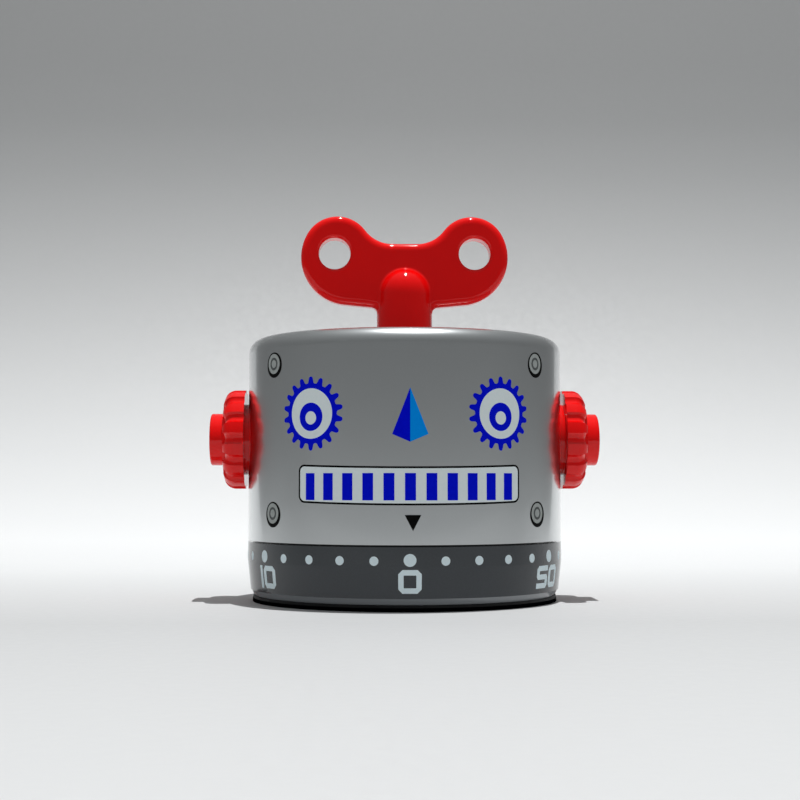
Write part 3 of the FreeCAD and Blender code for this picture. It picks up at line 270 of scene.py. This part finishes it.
def rounded_box(width, height, radius):
    """A box about the origin with round corners."""
    steps = 8
    points = []
    for across, up, start in ((1, 1, 0), (-1, 1, 90), (-1, -1, 180), (1, -1, 270)):
        middle = (across * (width / 2 - radius), up * (height / 2 - radius))
        for step in range(steps + 1):
            turn = math.radians(start + 90 * step / steps)
            points.append((middle[0] + radius * math.cos(turn), middle[1] + radius * math.sin(turn)))
    return points


def dense(points):
    """The same outline with its long edges divided."""
    result = []
    for start, end in zip(points, points[1:] + points[:1]):
        count = max(1, math.ceil(math.dist(start, end) / EDGE))
        along, up = end[0] - start[0], end[1] - start[1]
        for part in range(count):
            share = part / count
            result.append((start[0] + along * share, start[1] + up * share))
    return result


def case_radius(level, body):
    """Radius in metres of the round case at a height in millimetres."""
    if body == "head":
        return CASE_R
    share = min(max((TAPER_TOP - level) / (TAPER_TOP - BEVEL_TOP), 0.0), 1.0)
    return CASE_R - TAPER_IN * MM * share


def printed(name, turn, height, outlines, material, layer, body="head"):
    """A film of ink on the round case.

    The outlines are in millimetres along and up the surface, about the place (turn, height).
    An outline inside another is a hole in it.  Layers are thin steps outward from the surface."""
    mesh = bmesh.new()
    for points in outlines:
        corners = [mesh.verts.new((x, y, 0)) for x, y in dense(points)]
        for start, end in zip(corners, corners[1:] + corners[:1]):
            mesh.edges.new((start, end))
    bmesh.ops.triangle_fill(mesh, edges=mesh.edges[:], use_beauty=True)
    reach = max(abs(vert.co.x) for vert in mesh.verts)
    for index in range(-int(reach / STRIP), int(reach / STRIP) + 1):
        bmesh.ops.bisect_plane(mesh, geom=mesh.verts[:] + mesh.edges[:] + mesh.faces[:],
                               plane_co=((index + 0.5) * STRIP, 0, 0), plane_no=(1, 0, 0))
    mesh.normal_update()
    for face in mesh.faces:
        if face.normal.z < 0:
            face.normal_flip()
    skin = bmesh.ops.extrude_face_region(mesh, geom=mesh.faces[:])
    top = {item for item in skin["geom"] if isinstance(item, bmesh.types.BMVert)}
    film = (FILM + FILM_STEP * layer) * MM
    for vert in mesh.verts:
        level = height + vert.co.y
        radius = case_radius(level, body) + (film if vert in top else -FILM * MM)
        angle = math.radians(turn) + vert.co.x * MM / CASE_R
        vert.co = Vector((radius * math.sin(angle), -radius * math.cos(angle), level * MM))
    bmesh.ops.recalc_face_normals(mesh, faces=mesh.faces[:])
    data = bpy.data.meshes.new(name)
    mesh.to_mesh(data)
    mesh.free()
    data.materials.append(INKS[material])
    piece = bpy.data.objects.new(name, data)
    bpy.context.collection.objects.link(piece)
    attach(piece, body)
    return piece


def gear_ring(teeth, tip_r, root_r):
    """The outline of a round-toothed gear; each tooth is drawn as (aside, outward) points."""
    half, cap = 0.45, 0.43
    foot_half, fillet_half, fillet_height = 0.74, 0.58, 0.2
    cap_level = tip_r - cap
    crown = [(cap * math.sin(math.radians(lean)), cap_level + cap * math.cos(math.radians(lean)))
             for lean in range(-75, 76, 25)]
    flank = [(foot_half, root_r), (fillet_half, root_r + fillet_height), (half, cap_level)]
    tooth_points = [(-aside, outward) for aside, outward in flank] + crown + flank[::-1]
    outline = []
    for tooth in range(teeth):
        middle = math.pi / 2 - 2 * math.pi * tooth / teeth
        outward = Vector((math.cos(middle), math.sin(middle)))
        aside = Vector((outward.y, -outward.x))
        outline += [tuple(outward * rise + aside * slide) for slide, rise in tooth_points]
    return outline


# In millimetres.  The rings of an eye lap a little, so that no gap shows between their colours.
EYE_LEVEL = 35.8
GEAR_TEETH = 18
GEAR_TIP_R = 6.8
GEAR_ROOT_R = 5.5
GEAR_HOLE_R = 4.5
WHITE_R = 4.62
WHITE_HOLE_R = 2.5
PUPIL_R = 2.6
PUPIL_HOLE_R = 1.22
SPOT_R = 1.3
PUPIL_DROP = 0.6
SPOT_DROP = 0.2


def eye(word, turn):
    """A gear-shaped eye: a toothed blue ring, a pale disc, and a low pupil with a lower spot in it."""
    gear = gear_ring(GEAR_TEETH, GEAR_TIP_R, GEAR_ROOT_R)
    pupil_level = EYE_LEVEL - PUPIL_DROP
    printed(f"{word}_eye_gear", turn, EYE_LEVEL, [gear, circle(GEAR_HOLE_R)], "blue", 0)
    white = [circle(WHITE_R), circle(WHITE_HOLE_R, (0, -PUPIL_DROP))]
    printed(f"{word}_eye_white", turn, EYE_LEVEL, white, "pale", 1)
    pupil = [circle(PUPIL_R), circle(PUPIL_HOLE_R, (0, -SPOT_DROP))]
    printed(f"{word}_pupil", turn, pupil_level, pupil, "blue", 2)
    printed(f"{word}_pupil_spot", turn, pupil_level - SPOT_DROP, [circle(SPOT_R)], "pale", 1)


def nose():
    """A kite split down the middle into a dark and a light half."""
    left, right = -3.25, 3.3
    top, side, foot = 40.3, 31.9, 30.5
    printed("nose_dark", 0.0, 0.0, [[(0, top), (left, side), (0, foot)]], "navy", 0)
    printed("nose_light", 0.0, 0.0, [[(0, top), (0, foot), (right, side)]], "sky", 0)


MOUTH_W = 44.2
MOUTH_H = 7.0
MOUTH_TURN = 0.2
MOUTH_LEVEL = 22.6
BAR_W = 1.97
BAR_H = 4.9
BAR_LEVEL = 22.45
BARS = 11
BAR_PITCH = 7.14
MIDDLE_BAR_TURN = 0.06


def smiling(points):
    """An outline whose ends bend upward by the lift at half the mouth's width."""
    lift, half = 0.42, 22.0
    return [(x, y + lift * (x / half) ** 2) for x, y in dense(points)]


def mouth_shape(inset, corner):
    return smiling(rounded_box(MOUTH_W - inset, MOUTH_H - inset, corner))


def mouth():
    """A pale window with a thin black edge and a row of blue bars."""
    edge = [mouth_shape(0, 1.3), mouth_shape(0.7, 1.0)]
    printed("mouth_edge", MOUTH_TURN, MOUTH_LEVEL, edge, "black", 1)
    printed("mouth_fill", MOUTH_TURN, MOUTH_LEVEL, [mouth_shape(0.5, 1.1)], "pale", 0)
    bar = bar_shape(-BAR_W / 2, -BAR_H / 2, BAR_W / 2, BAR_H / 2)
    for number in range(BARS):
        turn = MIDDLE_BAR_TURN + BAR_PITCH * (number - BARS // 2)
        printed(f"mouth_bar_{number + 1}", turn, BAR_LEVEL, [bar], "blue", 2)


def pointer():
    """A small black triangle that points down at the dial."""
    turn, half, top, tip = 0.9, 1.5, 17.4, 14.5
    printed("pointer", turn, 0.0, [[(-half, top), (half, top), (0, tip)]], "black", 0)


def painted_screw(word, turn, height):
    """A printed screw head: dark edge, heavier below, light rim, grey ring and light middle."""
    shade, ring, light = (0.05, -0.1), (-0.05, 0.1), (-0.05, 0.12)
    printed(f"{word}_screw_shade", turn, height, [circle(2.4, shade), circle(1.9, light)], "black", 1)
    printed(f"{word}_screw_rim", turn, height, [circle(2.0, light)], "silver", 0)
    printed(f"{word}_screw_ring", turn, height, [circle(1.2, ring), circle(0.75, light)], "grey", 1)
    printed(f"{word}_screw_spot", turn, height, [circle(0.62, light)], "silver", 1)


STROKE = 0.98
DIGIT_W = 4.24
DIGIT_H = 4.24
ONE_W = 2.6
DIGIT_GAP = 0.5
CORNER = 0.6
BEND = 0.5


def bar_shape(left, low, right, high):
    return [(left, low), (right, low), (right, high), (left, high)]


def chamfered(left, low, right, high, cut):
    """A box with its corners cut off."""
    return [(left + cut, low), (right - cut, low), (right, low + cut), (right, high - cut),
            (right - cut, high), (left + cut, high), (left, high - cut), (left, low + cut)]


def digit_outlines(digit, left):
    """Square stencil-like figures, all of one stroke width; the outline starts at the left edge."""
    w, h, s, c, b = DIGIT_W, DIGIT_H, STROKE, CORNER, BEND
    middle_low, middle_high = (h - s) / 2, (h + s) / 2
    three_reach = 0.8
    if digit == "0":
        shapes = [chamfered(0, 0, w, h, 0.75), chamfered(s, s, w - s, h - s, 0.05)]
    elif digit == "1":
        shapes = [bar_shape(ONE_W - s, 0, ONE_W, h)]
    elif digit == "2":
        shapes = [[(0, 0), (w, 0), (w, s), (s, s), (s, middle_low), (w - b, middle_low), (w, middle_low + b),
                   (w, h - c), (w - c, h), (0, h), (0, h - s), (w - s, h - s), (w - s, middle_high),
                   (b, middle_high), (0, middle_high - b)]]
    elif digit == "3":
        shapes = [[(0, 0), (w - c, 0), (w, c), (w, h - c), (w - c, h), (0, h), (0, h - s), (w - s, h - s),
                   (w - s, middle_high), (three_reach, middle_high), (three_reach, middle_low),
                   (w - s, middle_low), (w - s, s), (0, s)]]
    elif digit == "4":
        shapes = [[(w - s, 0), (w, 0), (w, h), (w - s, h), (w - s, middle_high), (s, middle_high), (s, h),
                   (0, h), (0, middle_low), (w - s, middle_low)]]
    else:
        shapes = [[(0, 0), (w - c, 0), (w, c), (w, middle_high - b), (w - b, middle_high), (s, middle_high),
                   (s, h - s), (w, h - s), (w, h), (c, h), (0, h - c), (0, middle_low + b), (b, middle_low),
                   (w - s, middle_low), (w - s, s), (0, s)]]
    return [[(left + x, y) for x, y in shape] for shape in shapes]


ZERO_TURN = -0.1
DOTS = 30
DOTS_PER_NUMBER = 5
BIG_DOT = (9.31, 1.15)
SMALL_DOT = (9.15, 0.83)
NUMBER_LEVEL = 3.35


def dial_marks():
    """Dots for every second minute all round the base, and a number every ten minutes."""
    for number in range(DOTS):
        turn = ZERO_TURN - 360 / DOTS * number
        level, radius = SMALL_DOT if number % DOTS_PER_NUMBER else BIG_DOT
        printed(f"dot_{2 * number:02d}", turn, level, [circle(radius, steps=40)], "white", 0,
                body="base")
    for number in range(DOTS // DOTS_PER_NUMBER):
        figures = str(number * 10)
        widths = [ONE_W if figure == "1" else DIGIT_W for figure in figures]
        left = -(sum(widths) + DIGIT_GAP * (len(figures) - 1)) / 2
        outlines = []
        for figure, width in zip(figures, widths):
            outlines += digit_outlines(figure, left)
            left += width + DIGIT_GAP
        turn = ZERO_TURN - 360 / DOTS * DOTS_PER_NUMBER * number
        printed(f"figure_{figures}", turn, NUMBER_LEVEL, outlines, "white", 0, body="base")


# ---------------------------------------------------------------- studio

def sweep(half_width, floor_half, front, far, back, height, bend):
    """A wide pale floor with a narrower backdrop that curves up out of it behind the object."""
    steps = 12
    profile = []
    for step in range(steps + 1):
        turn = math.radians(90 * step / steps)
        profile.append((back - bend + bend * math.sin(turn), bend - bend * math.cos(turn)))
    profile.append((back, height))
    corners = [(side, y, z) for y, z in profile for side in (-half_width, half_width)]
    faces = [(2 * row, 2 * row + 1, 2 * row + 3, 2 * row + 2) for row in range(len(profile) - 1)]
    fold = back - bend
    floors = ((-floor_half, floor_half, front, fold), (-floor_half, -half_width, fold, far),
              (half_width, floor_half, fold, far))
    for left, right, low, high in floors:
        first = len(corners)
        corners += [(left, low, 0), (right, low, 0), (right, high, 0), (left, high, 0)]
        faces.append((first, first + 1, first + 2, first + 3))
    mesh = bpy.data.meshes.new("sweep")
    mesh.from_pydata(corners, [], faces)
    for face in mesh.polygons:
        face.use_smooth = True
    paper = Surface("paper")
    # Painted light and shade on the paper: dark far in front, a bright band about 0.3 m in front, dimmer
    # just in front of the object, bright at the fold behind it and darker up the backdrop.
    paper.painted_light_along_sweep([(-0.8, 0.16), (-0.45, 0.2), (-0.3, 0.8), (-0.05, 0.56),
                             (0.15, 0.8), (0.335, 0.49), (0.44, 0.33), (0.7, 0.22)])
    paper.roughness(paper.noise(500, 3), 0.6, 0.75)
    mesh.materials.append(paper.material)
    sheet = bpy.data.objects.new("sweep", mesh)
    bpy.context.collection.objects.link(sheet)


def lamp(place, size, power):
    """A small square lamp that shines at the origin."""
    light = bpy.data.lights.new("lamp", "AREA")
    light.shape = "RECTANGLE"
    light.size = size
    light.size_y = size
    light.energy = power
    item = bpy.data.objects.new("lamp", light)
    item.location = place
    item.rotation_euler = (-Vector(place)).to_track_quat("-Z", "Y").to_euler()
    bpy.context.collection.objects.link(item)


def room():
    """A dim room that grows lighter overhead; each step is (rise of the direction, grey)."""
    world = bpy.data.worlds.new("room")
    world.use_nodes = True
    tree = world.node_tree
    place = tree.nodes.new("ShaderNodeTexCoord")
    split = tree.nodes.new("ShaderNodeSeparateXYZ")
    shift = tree.nodes.new("ShaderNodeMapRange")
    shift.inputs["From Min"].default_value = -1.0
    band = tree.nodes.new("ShaderNodeValToRGB")
    rises = [(-0.1, 0.16), (0.4, 0.2), (0.8, 0.3), (1.0, 0.5)]
    while len(band.color_ramp.elements) < len(rises):
        band.color_ramp.elements.new(0.5)
    for element, (rise, grey) in zip(band.color_ramp.elements, rises):
        element.position = (rise + 1) / 2
        element.color = (0.97 * grey, 0.99 * grey, grey, 1)
    tree.links.new(place.outputs["Generated"], split.inputs["Vector"])
    tree.links.new(split.outputs["Z"], shift.inputs["Value"])
    tree.links.new(shift.outputs["Result"], band.inputs["Fac"])
    tree.links.new(band.outputs["Color"], tree.nodes["Background"].inputs["Color"])
    bpy.context.scene.world = world


def studio():
    room()
    sweep(half_width=0.225, floor_half=1.0, front=-1.0, far=1.0, back=0.26, height=0.45, bend=0.16)
    lamp(place=(0.0526, 0.0, 1.0), size=0.006, power=9.6)


def camera():
    """The main view: from a little below the middle of the face, looking slightly up."""
    data = bpy.data.cameras.new("camera")
    data.sensor_width = 36
    data.lens = 67.5
    item = bpy.data.objects.new("camera", data)
    turn = math.radians(-1.938)
    distance = 299.87 * MM
    height = 23.38 * MM
    look_up, look_aside = 3.11, -1.768
    item.location = (distance * math.sin(turn), -distance * math.cos(turn), height)
    item.rotation_euler = (math.radians(90 + look_up), 0.0, math.radians(look_aside))
    bpy.context.collection.objects.link(item)
    bpy.context.scene.camera = item
    bpy.context.scene.view_settings.view_transform = "Standard"


dress_frame()
camera()
eye("left", -35.5)
eye("right", 32.7)
nose()
mouth()
pointer()
painted_screw("upper_left", -54.1, 45.3)
painted_screw("upper_right", 50.4, 45.3)
painted_screw("lower_left", -54.5, 17.3)
painted_screw("lower_right", 51.3, 17.35)
dial_marks()
studio()
